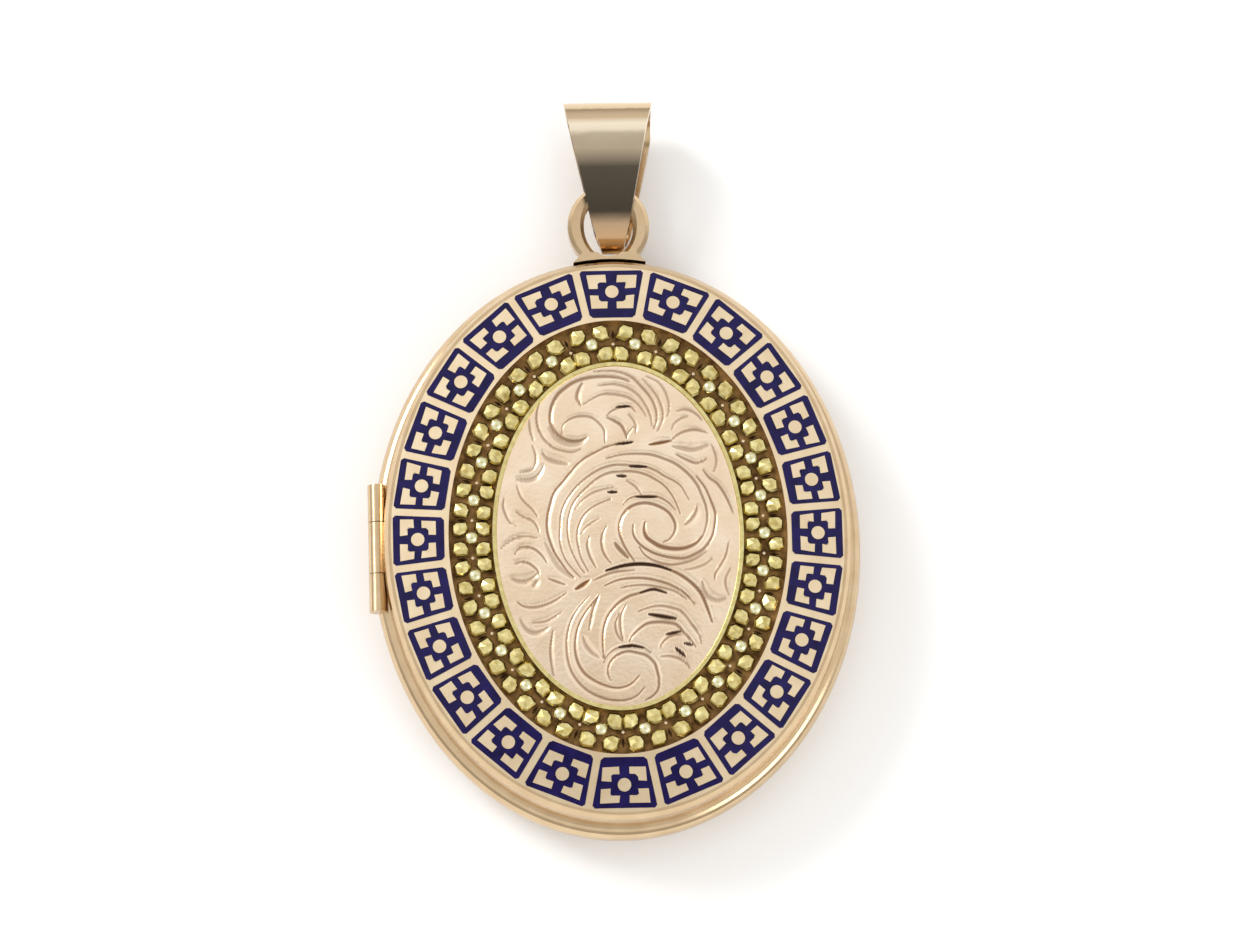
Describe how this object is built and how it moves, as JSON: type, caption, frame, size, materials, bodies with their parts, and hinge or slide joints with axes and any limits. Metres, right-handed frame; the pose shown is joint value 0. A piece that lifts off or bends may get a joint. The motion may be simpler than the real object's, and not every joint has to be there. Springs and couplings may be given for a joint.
{
  "type": "photograph locket",
  "caption": "Oval hinged photograph locket with an enamelled border, a ring of flowers, an engraved centre plaque, two glazed photograph holders and a tapered bail.",
  "frame": {"origin": "middle of the flat back face that the closed locket rests on", "axes": "+Z out of the decorated front, +Y towards the bail, +X to the wearer's left with the hinge at -X"},
  "size_m": [0.0266, 0.0409, 0.0059],
  "materials": {
    "rose_gold": "polished rose gold",
    "inner_gold": "satin rose gold, inside faces",
    "yellow_gold": "bright yellow gold, oxidised in the recesses",
    "engraved_gold": "bright-cut engraved rose gold",
    "enamel": "glossy navy vitreous enamel",
    "crystal": "thin clear crystal",
    "card": "blank cream card"
  },
  "bodies": {
    "back_case": {"back_shell": "rose_gold", "closing_lip": "rose_gold", "catch_bead": "rose_gold", "back_liner": "inner_gold", "back_photo_frame": "rose_gold", "back_photo_glass": "crystal", "back_photo_card": "card", "hinge_end_knuckles": "rose_gold", "hinge_pin": "rose_gold", "ring_saddle": "rose_gold", "suspension_ring": "rose_gold"},
    "front_cover": {"front_shell": "rose_gold", "front_liner": "inner_gold", "front_photo_frame": "rose_gold", "front_photo_glass": "crystal", "front_photo_card": "card", "hinge_centre_knuckle": "rose_gold", "enamel_plate": "rose_gold", "enamel_cells": "enamel", "flower_channel": "yellow_gold", "flower_petals": "yellow_gold", "flower_centres": "yellow_gold", "plaque_collet": "yellow_gold", "centre_plaque": "engraved_gold"},
    "bail": {"bail": "rose_gold"}
  },
  "joints": [
    {"name": "cover_hinge", "type": "hinge", "parent": "back_case", "child": "front_cover", "pos_m": [-0.0129, 0, 0.0034], "axis": [0, -1, 0], "range_deg": [0, 160]},
    {"name": "bail_swing", "type": "hinge", "parent": "back_case", "child": "bail", "pos_m": [0, 0.01878, 0.0039], "axis": [1, 0, 0], "range_deg": [0, 75]}
  ]
}
